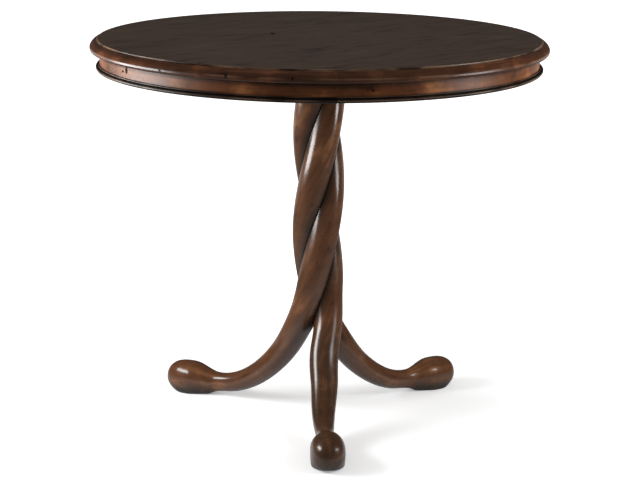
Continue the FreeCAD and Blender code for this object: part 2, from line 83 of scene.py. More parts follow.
def surfaceObject(name, points, uvs, masks, tip=None):
    # Rings of points, closed round each ring. The first ring is capped, the last one is capped
    # or drawn to a tip. uvs has one column more than points, so that the pattern closes on
    # itself. masks are values at the points.
    rings, around = points.shape[:2]
    i, j = np.meshgrid(np.arange(rings - 1), np.arange(around), indexing="ij")
    k = (j + 1) % around
    corners = [i * around + j, i * around + k, (i + 1) * around + k, (i + 1) * around + j]
    cornerUvs = [uvs[i, j], uvs[i, j + 1], uvs[i + 1, j + 1], uvs[i + 1, j]]
    quads = np.stack(corners, -1).reshape(-1, 4)
    verts = points.reshape(-1, 3)
    p = (verts - verts.mean(0))[quads]
    twiceArea = np.cross(p[:, 1], p[:, 2]) + np.cross(p[:, 2], p[:, 3])
    inward = np.einsum("ij,ij->i", p[:, 0], twiceArea).sum() < 0  # sign of the volume
    a = np.arange(around)
    first, last = a[::-1], a + (rings - 1) * around
    faces = quads.tolist() + [first.tolist()]
    faceUvs = [np.stack(cornerUvs, -2).reshape(-1, 2), uvs[0, first]]
    values = {key: mask.reshape(-1) for key, mask in masks.items()}
    if tip is None:
        faces.append(last.tolist())
        faceUvs.append(uvs[-1, a])
    else:
        fan = np.stack([last, np.roll(last, -1), np.full(around, len(verts))], -1)
        faces += fan.tolist()
        faceUvs.append(np.stack([uvs[-1, a], uvs[-1, a + 1], uvs[-1, a]], 1).reshape(-1, 2))
        verts = np.vstack([verts, tip])
        values = {key: np.append(value, value[-1]) for key, value in values.items()}
    mesh = bpy.data.meshes.new(name)
    mesh.from_pydata(verts.tolist(), [], faces)
    layer = mesh.uv_layers.new(name="grain")
    layer.data.foreach_set("uv", np.vstack(faceUvs).astype(np.float32).ravel())
    for key, value in values.items():
        attribute = mesh.attributes.new(key, "FLOAT", "POINT")
        attribute.data.foreach_set("value", value.astype(np.float32))
    if inward:
        mesh.flip_normals()
    mesh.shade_smooth()
    mesh.set_sharp_from_angle(angle=creaseAngle)
    mesh.update()
    piece = bpy.data.objects.new(name, mesh)
    bpy.context.scene.collection.objects.link(piece)
    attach(piece, "root")
    return piece


# legs

legForm = {
    "strandOffset": 0.0174, "strandRadius": 0.0265,
    # twist of the column, and how it lets go at the fork
    "twistPitch": 0.511, "twistStart": 0.119, "twistRunout": 0.067,
    "extraTurn": 0.087, "extraHeight": 0.0915, "extraSpread": 0.037,
    # sweep from the column out to the neck
    "splayHeight": 0.233, "splayHold": 0.522, "splaySweep": 0.417, "sweepSamples": 800,
    "thicknessTaper": 1.11, "widthTaper": 2.5,
    "neckHeight": 0.0243, "neckThick": 0.0163, "neckWide": 0.0139,
    "neckBlend": 0.3, "neckEvening": 14, "neckBell": 6,
    # club foot
    "footReach": 0.300, "footNose": 0.049, "footHeel": 0.0592, "footHeight": 0.0546,
    "footWidth": 0.0568, "footWaist": 0.466, "tipHeight": 0.024, "nosePower": 2.98,
    "toePower": 1.73, "soleHeight": 0.001, "soleWidth": 0.054, "soleRunIn": 0.0198,
    "soleMark": np.radians(150), "neckSoleShare": 0.56, "toeSoleShare": 0.12, "toeSolePower": 4.7,
    # tenon in the mounting block
    "tenonRadius": 0.024, "tenonLength": 0.027, "tenonMiddle": 0.7, "tenonLeastPush": 0.01,
    # rings of points, and points round each
    "columnRings": 150, "splayRings": 130, "heelRings": 44, "noseRings": 44, "around": 128,
    # glaze and painted shade in the grooves, painted shade under the sweep and on the lower legs,
    # darker round the sole
    "grooveGlazeAndShadeReach": 0.014, "underShade": 0.6, "underFrom": 1.9, "underRun": 0.9, "underFade": 0.08,
    "footDarkHeight": 0.020, "footDarkFull": 1.3, "shadeHeight": 0.21, "shadeRun": 0.08,
    # grain: radius that it is unrolled at, and its shift from leg to leg
    "grainRadius": 0.024, "grainShift": 0.37,
}
legFeet = {"leg_front": np.radians(-90), "leg_right": np.radians(30), "leg_left": np.radians(150)}
legShade = {"leg_front": 0.62, "leg_right": 0.12, "leg_left": 0.12}  # painted shade below the fork
wedge = np.radians(60)  # half of a strand's share of the column


def twistAt(height):
    # Strand's angle about the axis: even pitch in the column, running out on a parabola below,
    # plus a small bell of extra turn, which lets the leg leave the fork nearly straight.
    f = legForm
    rate = 2 * np.pi / f["twistPitch"]
    above = height - (f["twistStart"] - f["twistRunout"] / 2)
    fading = rate * np.clip(above, 0, None) ** 2 / (2 * f["twistRunout"])
    twist = np.where(above < f["twistRunout"], fading, rate * (height - f["twistStart"]))
    return twist + f["extraTurn"] * bell((height - f["extraHeight"]) / f["extraSpread"])


def sweepLine():
    # Cubic curve from the column out to the neck, at even lengths: its reach from the axis,
    # height, lean from upright, and share of the length.
    f = legForm
    start, high, low = f["strandOffset"], f["splayHeight"], f["neckHeight"]
    end = f["footReach"] - f["footNose"] - f["footHeel"]
    hold = high - f["splayHold"] * (high - low)
    sweep = end - f["splaySweep"] * (end - start)
    knots = np.array([[start, high], [start, hold], [sweep, low], [end, low]])
    t = np.linspace(0, 1, f["sweepSamples"])[:, None]
    line = (1 - t) ** 3 * knots[0] + 3 * (1 - t) ** 2 * t * knots[1]
    line = line + 3 * (1 - t) * t ** 2 * knots[2] + t ** 3 * knots[3]
    slope = np.gradient(line, axis=0)
    lean = np.arctan2(slope[:, 0], -slope[:, 1])
    length = np.append(0, np.cumsum(np.hypot(*np.diff(line, axis=0).T)))
    even = np.linspace(0, length[-1], f["splayRings"] + 1)[1:]
    reach, height, lean = (np.interp(even, length, x) for x in (line[:, 0], line[:, 1], lean))
    return reach, height, lean, even / length[-1]


def underside(theta):  # 0 on the crown and sides of a section, 1 underneath
    return smoothStep((np.abs(theta) - legForm["underFrom"]) / legForm["underRun"])


def strandRings(theta, legTop):
    # Oval sections: middle + crown * thick cos + side * wide sin, drawn in towards the middle
    # where they would pass the planes at 60 degrees that a strand shares with its neighbours.
    f = legForm
    columnHeight = np.linspace(legTop, f["splayHeight"], f["columnRings"])
    reach, height, lean, share = sweepLine()
    even = np.ones_like(columnHeight)
    radius = f["strandRadius"]
    thick = radius - (radius - f["neckThick"]) * share ** f["thicknessTaper"]
    wide = radius - (radius - f["neckWide"]) * share ** f["widthTaper"]
    reach = np.append(even * f["strandOffset"], reach)[:, None]
    lean = np.append(even * 0, lean)[:, None]
    thick = np.append(even * radius, thick)[:, None]
    wide = np.append(even * radius, wide)[:, None]
    height = np.append(columnHeight, height)[:, None]
    push = wide * np.cos(wedge) * np.abs(np.sin(theta))
    push = push - thick * np.cos(lean) * np.sin(wedge) * np.cos(theta)
    limit = reach * np.sin(wedge) - glueLine / 2
    held = np.where(push > limit, limit / np.where(push > 0, push, 1), 1)
    clear = np.where(push > limit, 0, limit - push)  # distance to the neighbour's plane
    twist = twistAt(height)
    out = np.stack([np.cos(twist), np.sin(twist), 0 * twist], -1)
    side = np.stack([-np.sin(twist), np.cos(twist), 0 * twist], -1)
    up = np.array([0, 0, 1.0])
    crown = out * np.cos(lean)[..., None] + up * np.sin(lean)[..., None]
    middle = out * reach[..., None] + up * height[..., None]
    rings = middle + crown * (held * thick * np.cos(theta))[..., None]
    rings = rings + side * (held * wide * np.sin(theta))[..., None]
    # painted shade under the sweep, fading out towards the column
    below = underside(theta) * smoothStep((f["splayHeight"] - height) / f["underFade"])
    # glaze and painted shade near the planes shared with the neighbours, painted shade underneath
    return rings, np.maximum(np.exp(-clear / f["grooveGlazeAndShadeReach"]), f["underShade"] * below)


def footRings(theta):
    # Dome above the waist, tall rounded corners below it and a flat sole. The section swells
    # from the neck to the crown, then closes to the tip as the cosine of the angle whose sine,
    # raised to a power, is the way along the nose.
    f = legForm
    s = np.linspace(0, 1, f["heelRings"] + 1)[1:]
    a = np.linspace(0, np.pi / 2, f["noseRings"] + 1)[1:-1]
    crownReach = f["footReach"] - f["footNose"]
    neckReach = crownReach - f["footHeel"]
    nose = crownReach + f["footNose"] * np.sin(a) ** (2 / f["nosePower"])
    reach = np.append(neckReach + f["footHeel"] * s, nose)[:, None]
    swell = np.append(smoothStep(s), np.ones_like(a))[:, None]
    close = np.append(np.ones_like(s), np.cos(a))[:, None]
    neckTop, neckLow = f["neckHeight"] + f["neckThick"], f["neckHeight"] - f["neckThick"]
    halfWidth = (f["neckWide"] + (f["footWidth"] / 2 - f["neckWide"]) * swell) * close
    crown = neckTop + (f["footHeight"] - neckTop) * swell
    top = f["tipHeight"] + (crown - f["tipHeight"]) * close
    runIn = smoothStep((reach - neckReach) / f["soleRunIn"])
    bottom = neckLow + (f["soleHeight"] - neckLow) * runIn
    bottom = bottom + (f["tipHeight"] - bottom) * (1 - close) ** f["toePower"]
    waist = bottom + (top - bottom) * f["footWaist"]
    toeShare = f["toeSoleShare"] + (1 - f["toeSoleShare"]) * close ** f["toeSolePower"]
    soleShare = (f["neckSoleShare"] + (1 - f["neckSoleShare"]) * swell) * toeShare
    halfSole = halfWidth * soleShare * f["soleWidth"] / f["footWidth"]
    turn, hand = np.abs(theta), np.sign(theta)
    corner = (turn - np.pi / 2) / (f["soleMark"] - np.pi / 2) * np.pi / 2
    above, beside = turn <= np.pi / 2, turn <= f["soleMark"]
    z = np.where(beside, waist - (waist - bottom) * np.sin(corner), bottom)
    z = np.where(above, waist + (top - waist) * np.cos(turn), z)
    flat = halfSole * (np.pi - turn) / (np.pi - f["soleMark"])
    y = np.where(beside, halfSole + (halfWidth - halfSole) * np.cos(corner), flat)
    y = np.where(above, halfWidth * np.sin(turn), y) * hand
    blend = smoothStep((reach - neckReach) / f["footHeel"] / f["neckBlend"])
    y = y * blend + f["neckWide"] * np.sin(theta) * (1 - blend)
    z = z * blend + (f["neckHeight"] + f["neckThick"] * np.cos(theta)) * (1 - blend)
    rings = np.stack(np.broadcast_arrays(reach, y, z), -1)
    # painted shade under the neck, fading out into the foot
    below = f["underShade"] * underside(theta) * (1 - blend)
    # darker towards the sole
    soleDark = smoothStep(f["footDarkFull"] - z / f["footDarkHeight"]) * blend
    return rings, np.maximum(soleDark, below)


def evenedNeck(rings, neck):
    # Rings near the neck are drawn towards a bell-weighted mean of their neighbours, so that
    # strand and foot run into each other without a crease.
    f = legForm
    step = np.arange(-3 * f["neckBell"], 3 * f["neckBell"] + 1)
    weight = np.exp(-0.5 * (step / f["neckBell"]) ** 2)
    index = np.clip(np.arange(len(rings))[:, None] + step, 0, len(rings) - 1)
    even = np.einsum("ijkl,j->ikl", rings[index], weight / weight.sum())
    pull = bell((np.arange(len(rings)) - neck) / f["neckEvening"])[:, None, None]
    return rings + pull * (even - rings)


def tenonRings(theta, legTop):
    # Third of a round tenon: rays from a point between axis and strand, each as long as the
    # way to the bore's wall or to the nearer of the two planes, whichever comes first.
    f = legForm
    c = f["strandOffset"] * f["tenonMiddle"]
    along = c * np.cos(theta)
    toWall = -along + np.sqrt(along ** 2 + f["tenonRadius"] ** 2 - c ** 2)
    push = np.cos(wedge) * np.abs(np.sin(theta)) - np.sin(wedge) * np.cos(theta)
    toPlane = (c * np.sin(wedge) - glueLine / 2) / np.maximum(push, f["tenonLeastPush"])
    ray = np.minimum(toWall, toPlane)
    twist = float(twistAt(np.array(legTop)))
    x, y = c + ray * np.cos(theta), ray * np.sin(theta)
    x, y = x * np.cos(twist) - y * np.sin(twist), x * np.sin(twist) + y * np.cos(twist)
    levels = legTop + f["tenonLength"], legTop
    return np.stack([np.stack([x, y, np.full_like(x, level)], -1) for level in levels])


def makeLegs():
    # Tenon, strand and foot are one run of rings, turned about the axis for each leg.
    f = legForm
    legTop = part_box("mounting_block")[0][2] - glueLine
    theta = np.linspace(-np.pi, np.pi, f["around"], endpoint=False)
    strand, grooves = strandRings(theta, legTop)
    foot, base = footRings(theta)
    tenon = tenonRings(theta, legTop)
    points = np.concatenate([tenon, evenedNeck(np.concatenate([strand, foot]), len(strand))])
    glazeAndShade = np.concatenate([np.ones(tenon.shape[:2]), grooves, base])
    steps = np.linalg.norm(np.diff(points.mean(1), axis=0), axis=1)
    along = np.append(0, np.cumsum(steps))
    girth = np.linspace(0, 2 * np.pi * f["grainRadius"], f["around"] + 1)
    uvs = np.stack(np.broadcast_arrays(along[:, None], girth[None, :]), -1)
    tip = np.array([f["footReach"], 0, f["tipHeight"]])
    low = smoothStep((f["shadeHeight"] - points[..., 2]) / f["shadeRun"])
    pieces = []
    for number, (name, angle) in enumerate(legFeet.items()):
        c, s = np.cos(angle), np.sin(angle)
        turn = np.array([[c, s, 0], [-s, c, 0], [0, 0, 1]])
        # painted shade on the lower legs joins the glaze and painted shade mask
        masks = {"glazeAndShade": np.maximum(glazeAndShade, legShade[name] * low)}
        legUvs = uvs + number * f["grainShift"]
        leg = surfaceObject(name + "_carved", points @ turn, legUvs, masks, tip @ turn)
        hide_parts(name)
        pieces.append(leg)
    print("legs carved:", len(pieces))
    return pieces


# moulded edge, apron and bead: profiles of (radius, height) points carried round the axis

easing = {"points": 5, "share": 0.4}  # points on each eased corner, most that it takes of a side


def arcRun(start, finish, fullness, count):
    # Arc from start to finish that bulges outwards, its radius a multiple of its chord.
    start, finish = np.array(start), np.array(finish)
    chord = finish - start
    length = np.hypot(*chord)
    radius = fullness * length
    inward = np.array([-chord[1], chord[0]]) / length
    centre = (start + finish) / 2 + inward * np.sqrt(radius ** 2 - length ** 2 / 4)
    begin, end = (np.arctan2(*(p - centre)[::-1]) for p in (start, finish))
    angle = np.linspace(begin, begin + (end - begin) % (2 * np.pi), count)
    return (centre + radius * np.stack([np.cos(angle), np.sin(angle)], -1)).tolist()


def easedProfile(profile, radius):
    # Each corner becomes a small parabola between points at one radius along its two sides.
    p = np.array(profile)
    before, after = np.roll(p, 1, 0) - p, np.roll(p, -1, 0) - p
    lengthBefore = np.linalg.norm(before, axis=1, keepdims=True)
    lengthAfter = np.linalg.norm(after, axis=1, keepdims=True)
    reach = np.minimum(radius, easing["share"] * np.minimum(lengthBefore, lengthAfter))
    a, b = p + before / lengthBefore * reach, p + after / lengthAfter * reach
    t = np.linspace(0, 1, easing["points"])[None, :, None]
    curve = (1 - t) ** 2 * a[:, None] + 2 * t * (1 - t) * p[:, None] + t ** 2 * b[:, None]
    return curve.reshape(-1, 2)


def nearness(profile, place, spread):  # bell about a place on the profile
    return bell(np.hypot(*(profile - place).T) / spread)


def ringHalf(name, profile, form, half, masks):
    # Point at an angle: radius * (cos, sin) and height, round half a circle, less half a glue
    # line at each end.
    widest = profile[:, 0].max()
    gap = glueLine / 2 / widest
    middle = form["firstAngle"] + half * np.pi
    angle = np.linspace(middle - np.pi / 2 + gap, middle + np.pi / 2 - gap, form["steps"])[:, None]
    r, z = profile[None, :, 0], profile[None, :, 1]
    points = np.stack(np.broadcast_arrays(r * np.cos(angle), r * np.sin(angle), z), -1)
    closed = np.vstack([profile, profile[:1]])
    across = np.append(0, np.cumsum(np.linalg.norm(np.diff(closed, axis=0), axis=1)))
    uvs = np.stack(np.broadcast_arrays(angle * widest, across[None, :]), -1)
    spread = {key: np.broadcast_to(mask, points.shape[:2]) for key, mask in masks.items()}
    return surfaceObject(name, points, uvs, spread)


edgeForm = {
    "width": 0.014, "flat": 0.0012, "step": 0.002, "quirk": 0.001,
    "ovoloDrop": 0.011, "ovoloFullness": 0.95, "ovoloPoints": 22, "lipBand": 0.0018,
    "underRound": 0.0045, "underFullness": 0.76, "underPoints": 14, "arrisRadius": 0.0005,
    "steps": 150, "firstAngle": 0.0,
    "grooveGlazeAndShade": 0.0016, "underShade": 0.004, "underShadeDrop": 0.003, "underShadeShare": 0.5,
    "lipWearAndHighlight": 0.0012, "lipWearAndHighlightShare": 0.3, "quirkHighlight": 0.0008, "flatHighlight": 0.0006,
}


def makeEdge():
    # Profile upwards from the board's lower arris: rounded underside, lip, ovolo, quirk, step
    # and a small flat. Glaze and painted shade lie in the step, painted shade underneath, and
    # painted highlights on the arrises, with some wear on the lip.
    f = edgeForm
    low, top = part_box("top_board_3")[0][2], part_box("top_board_3")[1][2]
    rim = cadBox[1][0]
    field = rim - f["width"]
    flat = field + f["flat"]
    step = top - f["step"]
    lip = step - f["ovoloDrop"]
    quirk = (flat + f["quirk"], step)
    under = (rim - f["underRound"], low)
    profile = [(field + glueLine, low)]
    profile += arcRun(under, (rim, lip - f["lipBand"]), f["underFullness"], f["underPoints"])
    profile += arcRun((rim, lip), quirk, f["ovoloFullness"], f["ovoloPoints"])
    profile += [(flat, step), (flat, top), (field + glueLine, top)]
    eased = easedProfile(profile, f["arrisRadius"])
    # painted shade under the lip
    below = smoothStep((lip - f["underShadeDrop"] - eased[:, 1]) / f["underShade"])
    # glaze and painted shade in the corner at the foot of the step
    glazeAndShade = nearness(eased, (flat, step), f["grooveGlazeAndShade"])
    glazeAndShade = np.maximum(glazeAndShade, f["underShadeShare"] * below)
    # pale lines: painted highlights on the quirk and the flat, wear and painted highlight on the
    # lip
    wearAndHighlight = f["lipWearAndHighlightShare"] * nearness(eased, (rim, lip), f["lipWearAndHighlight"])
    wearAndHighlight = np.maximum(wearAndHighlight, nearness(eased, quirk, f["quirkHighlight"]))
    wearAndHighlight = np.maximum(wearAndHighlight, nearness(eased, (flat, top), f["flatHighlight"]))
    masks = {"glazeAndShade": glazeAndShade, "wearAndHighlight": wearAndHighlight}
    pieces = []
    for half in range(2):
        piece = ringHalf("edge_turned_%d" % (half + 1), eased, f, half, masks)
        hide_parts("edge_moulding_%d" % (half + 1))
        pieces.append(piece)
    print("edge turned, radius %.4f" % rim)
    return pieces


apronForm = {
    "thickness": 0.020, "arrisRadius": 0.0006, "steps": 150, "firstAngle": np.pi / 2,
    "faceFoot": 0.012, "faceHead": 0.010, "faceDepth": 0.001,
    "headShade": 0.007, "footGlazeAndShade": 0.004, "footGlazeAndShadeRise": 0.0088, "footGlazeAndShadeShare": 0.5,
}


def makeApron():
    # Plain upright band. Two more points on its face keep the painted shade at its head and the
    # dark line at its foot to the face.
    f = apronForm
    low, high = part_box("apron_segment_1")[0][2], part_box("apron_segment_1")[1][2]
    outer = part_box("apron_segment_1")[1][1]
    inner = outer - f["thickness"]
    profile = [(inner, low), (outer, low), (outer, low + f["faceFoot"])]
    profile += [(outer, high - f["faceHead"]), (outer, high), (inner, high)]
    eased = easedProfile(profile, f["arrisRadius"])
    z = eased[:, 1]
    # painted shade under the moulding
    head = smoothStep((z - (high - f["headShade"])) / f["headShade"])
    # glaze and painted shade in the corner above the bead
    foot = smoothStep((low + f["footGlazeAndShadeRise"] + f["footGlazeAndShade"] - z) / f["footGlazeAndShade"])
    onFace = eased[:, 0] > outer - f["faceDepth"]
    masks = {"glazeAndShade": np.maximum(head, f["footGlazeAndShadeShare"] * foot) * onFace, "wearAndHighlight": 0 * z}
    pieces = []
    for half in range(2):
        piece = ringHalf("apron_bent_%d" % (half + 1), eased, f, half, masks)
        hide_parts("apron_segment_%d" % (half + 1))
        pieces.append(piece)
    print("apron bent, radius %.4f" % outer)
    return pieces, outer, low


beadForm = {
    "height": 0.007, "fullness": 0.52, "points": 16, "faceOut": 0.0038,
    "filletOut": 0.0024, "filletHeight": 0.0018, "arrisRadius": 0.0003,
    "steps": 150, "firstAngle": 0.0,
    "crownHighlight": 0.0011, "filletHighlight": 0.0007, "filletHighlightShare": 0.8,
}


def makeBead(outer, low):
    # Nearly half a circle on the apron's foot with a fillet above it, darkened all over by glaze
    # but for painted highlight lines along its crown and on the fillet's arris.
    f = beadForm
    seat, face, fillet = outer + glueLine, outer + f["faceOut"], outer + f["filletOut"]
    top = low + f["height"]
    shelf = top + f["filletHeight"]
    profile = [(seat, low)] + arcRun((face, low), (face, top), f["fullness"], f["points"])
    profile += [(fillet, top), (fillet, shelf), (seat, shelf)]
    eased = easedProfile(profile, f["arrisRadius"])
    # painted highlight lines on the crown and on the fillet's arris, glaze on the rest
    fromCrown = eased[:, 1] - (low + f["height"] / 2)
    wearAndHighlight = bell(fromCrown / f["crownHighlight"]) * (eased[:, 0] > face)
    filletLine = f["filletHighlightShare"] * nearness(eased, (fillet, shelf), f["filletHighlight"])
    wearAndHighlight = np.maximum(wearAndHighlight, filletLine)
    masks = {"glazeAndShade": 1 - wearAndHighlight, "wearAndHighlight": wearAndHighlight}
    pieces = []
    for half in range(2):
        piece = ringHalf("bead_bent_%d" % (half + 1), eased, f, half, masks)
        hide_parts("apron_bead_%d" % (half + 1))
        pieces.append(piece)
    print("bead bent round the apron's foot")
    return pieces


# finishes

class Tree:  # small helper that places and joins shader nodes
    def __init__(self, nodeTree):
        self.tree = nodeTree

    def add(self, kind, inputs=None, **settings):
        node = self.tree.nodes.new("ShaderNode" + kind)
        for key, value in settings.items():
            setattr(node, key, value)
        for key, value in (inputs or {}).items():
            if isinstance(value, bpy.types.NodeSocket):
                self.tree.links.new(value, node.inputs[key])
            else:
                node.inputs[key].default_value = value
        return node

    def join(self, output, socket):
        self.tree.links.new(output, socket)

    def math(self, operation, a, b=0.0, clamp=False):
        return self.add("Math", {0: a, 1: b}, operation=operation, use_clamp=clamp).outputs[0]

    def mix(self, factor, a, b):
        return self.add("Mix", {0: factor, 6: a, 7: b}, data_type="RGBA").outputs[2]

    def ramp(self, value, low, high):  # 0 below low, 1 above high
        limits = {"Value": value, "From Min": low, "From Max": high}
        return self.add("MapRange", limits, interpolation_type="SMOOTHSTEP").outputs[0]

    def noise(self, vector, scale, detail, roughness=0.55):
        inputs = {"Vector": vector, "Scale": scale, "Detail": detail, "Roughness": roughness}
        return self.add("TexNoise", inputs).outputs["Fac"]

    def vector(self, operation, a, b):
        return self.add("VectorMath", {0: a, 1: b}, operation=operation).outputs[0]

    def length(self, a):
        return self.add("VectorMath", {0: a}, operation="LENGTH").outputs["Value"]


def newGroup(name, inputs, outputs):
    group = bpy.data.node_groups.new(name, "ShaderNodeTree")
    for key, (kind, value) in inputs.items():
        socket = group.interface.new_socket(key, in_out="INPUT", socket_type="NodeSocket" + kind)
        if value is not None:
            socket.default_value = value
    for key, kind in outputs.items():
        group.interface.new_socket(key, in_out="OUTPUT", socket_type="NodeSocket" + kind)
    given = group.nodes.new("NodeGroupInput").outputs
    return Tree(group), given, group.nodes.new("NodeGroupOutput").inputs


grainForm = {  # scales are per metre, those of figure and streak along the grain and across it
    "warpScale": 9.0, "warpDetail": 2.0, "warp": 0.012,
    "figureScale": (5.0, 95.0, 95.0), "figureDetail": 4.0,
    "streakScale": (22.0, 620.0, 620.0), "streakDetail": 3.0, "poreFrom": 0.59, "poreTo": 0.69,
    "blotchScale": 17.0, "blotchDetail": 3.0, "roughness": 0.6,
    "contrast": 2.4, "sheen": 0.25, "figureHeight": 0.35,
}


def stainedGrainGroup():
    # Stained wood. Vector is in metres with X along the grain. Broad figure, blotchy stain and
    # fine dark pore streaks. The noises lie about 0.5.
    g = grainForm
    t, given, out = newGroup("stainedGrain", {
        "Vector": ("Vector", None),
        "Light": ("Color", None), "Middle": ("Color", None), "Dark": ("Color", None),
        "Figure": ("Float", 1.0), "Blotch": ("Float", 0.5),
        "Pores": ("Float", 0.5), "Fineness": ("Float", 1.0),
    }, {"Color": "Color", "Rough": "Float", "Height": "Float"})
    warp = t.math("MULTIPLY", t.noise(given["Vector"], g["warpScale"], g["warpDetail"]), g["warp"])
    aside = t.add("CombineXYZ", {"Y": warp}).outputs[0]
    bent = t.vector("ADD", given["Vector"], aside)
    rough = g["roughness"]
    broad = t.vector("MULTIPLY", bent, g["figureScale"])
    figure = t.noise(broad, 1.0, g["figureDetail"], rough)
    fine = t.vector("MULTIPLY", bent, g["streakScale"])
    streak = t.noise(fine, given["Fineness"], g["streakDetail"], rough)
    blotch = t.noise(given["Vector"], g["blotchScale"], g["blotchDetail"], rough)
    patchy = t.math("SUBTRACT", blotch, 0.5)
    spread = t.math("MULTIPLY", t.math("SUBTRACT", figure, 0.5), given["Figure"])
    spread = t.math("ADD", spread, t.math("MULTIPLY", patchy, given["Blotch"]))
    level = t.math("ADD", t.math("MULTIPLY", spread, g["contrast"]), 0.5, True)
    lower = t.mix(t.ramp(level, 0.0, 0.5), given["Dark"], given["Middle"])
    colour = t.mix(t.ramp(level, 0.5, 1.0), lower, given["Light"])
    pore = t.math("MULTIPLY", t.ramp(streak, g["poreFrom"], g["poreTo"]), given["Pores"])
    height = t.math("SUBTRACT", t.math("MULTIPLY", figure, g["figureHeight"]), pore)
    t.join(t.mix(pore, colour, given["Dark"]), out["Color"])
    t.join(t.math("MULTIPLY", patchy, g["sheen"]), out["Rough"])
    t.join(height, out["Height"])
    return t.tree


ageAndPaintedLightForm = {
    "patchScale": 60.0, "patchDetail": 3.0, "patchFull": 0.5, "glazeDull": 0.06,
    "rubScale": 14.0, "rubDetail": 2.0, "rubFrom": 0.40, "rubTo": 0.62, "rubShine": 0.08,
}


def glazeShadeWearAndHighlightGroup():
    # Dark glaze and painted shade in the hollows and underneath, and pale wear and painted
    # highlights on the arrises, both broken by noise.
    g = ageAndPaintedLightForm
    t, given, out = newGroup("glazeShadeWearAndHighlight", {
        "Color": ("Color", None), "Vector": ("Vector", None),
        "GlazeAndShade": ("Float", 0.0), "WearAndHighlight": ("Float", 0.0),
        "GlazeAndShadeColor": ("Color", None), "WearAndHighlightColor": ("Color", None),
    }, {"Color": "Color", "Rough": "Float"})
    patch = t.noise(given["Vector"], g["patchScale"], g["patchDetail"])
    rub = t.noise(given["Vector"], g["rubScale"], g["rubDetail"])
    glazeAndShade = t.math("MULTIPLY", given["GlazeAndShade"], t.ramp(patch, 0.0, g["patchFull"]), True)
    wearAndHighlight = t.math("MULTIPLY", given["WearAndHighlight"], t.ramp(rub, g["rubFrom"], g["rubTo"]), True)
    colour = t.mix(glazeAndShade, given["Color"], given["GlazeAndShadeColor"])
    dull = t.math("MULTIPLY", glazeAndShade, g["glazeDull"])
    shine = t.math("MULTIPLY", wearAndHighlight, g["rubShine"])
    t.join(t.mix(wearAndHighlight, colour, given["WearAndHighlightColor"]), out["Color"])
    t.join(t.math("SUBTRACT", dull, shine), out["Rough"])
    return t.tree


speckForm = {"perMetre": 42.0, "largest": 0.075, "hardness": 45.0, "colour": (17, 13, 10)}


def speckGroup():
    # Fly specks of the old finish: in each cell of a chance mosaic one dark dot, whose size is
    # drawn by chance too.
    g = speckForm
    t, given, out = newGroup("flySpecks", {
        "Vector": ("Vector", None), "Amount": ("Float", 0.5),
    }, {"Mask": "Float"})
    cells = {"Vector": given["Vector"], "Scale": g["perMetre"]}
    mosaic = t.add("TexVoronoi", cells, voronoi_dimensions="2D").outputs
    chance = t.add("SeparateColor", {0: mosaic["Color"]}).outputs[0]
    inside = t.math("SUBTRACT", t.math("MULTIPLY", chance, g["largest"]), mosaic["Distance"])
    dot = t.math("MULTIPLY", inside, g["hardness"], True)
    t.join(t.math("MULTIPLY", dot, given["Amount"]), out["Mask"])
    return t.tree


knockForm = {
    "ragScale": 700.0, "ragDetail": 1.0, "rag": 0.9, "rimFrom": 0.55, "rimTo": 1.1,
    "depth": 4.0, "dull": 0.5,
}


def knockGroup():
    # One dent or worm hole: 1 inside a small oval about a place on the piece, ragged at its rim.
    g = knockForm
    t, given, out = newGroup("knock", {
        "Vector": ("Vector", None), "Place": ("Vector", None), "Size": ("Vector", None),
        "Before": ("Float", 0.0),
    }, {"Mask": "Float"})
    off = t.vector("SUBTRACT", given["Vector"], given["Place"])
    away = t.length(t.vector("DIVIDE", off, given["Size"]))
    rag = t.math("SUBTRACT", t.noise(given["Vector"], g["ragScale"], g["ragDetail"]), 0.5)
    ragged = t.math("ADD", away, t.math("MULTIPLY", rag, g["rag"]))
    spot = t.math("SUBTRACT", 1.0, t.ramp(ragged, g["rimFrom"], g["rimTo"]))
    t.join(t.math("MAXIMUM", spot, given["Before"]), out["Mask"])
    return t.tree


grainGroup = stainedGrainGroup()
ageAndPaintedLightGroup = glazeShadeWearAndHighlightGroup()
dentGroup = knockGroup()
dotGroup = speckGroup()
bumpDistance = 0.0006


def newMaterial(name):
    material = bpy.data.materials.new(name)
    material.use_nodes = True
    return material, Tree(material.node_tree), material.node_tree.nodes["Principled BSDF"]


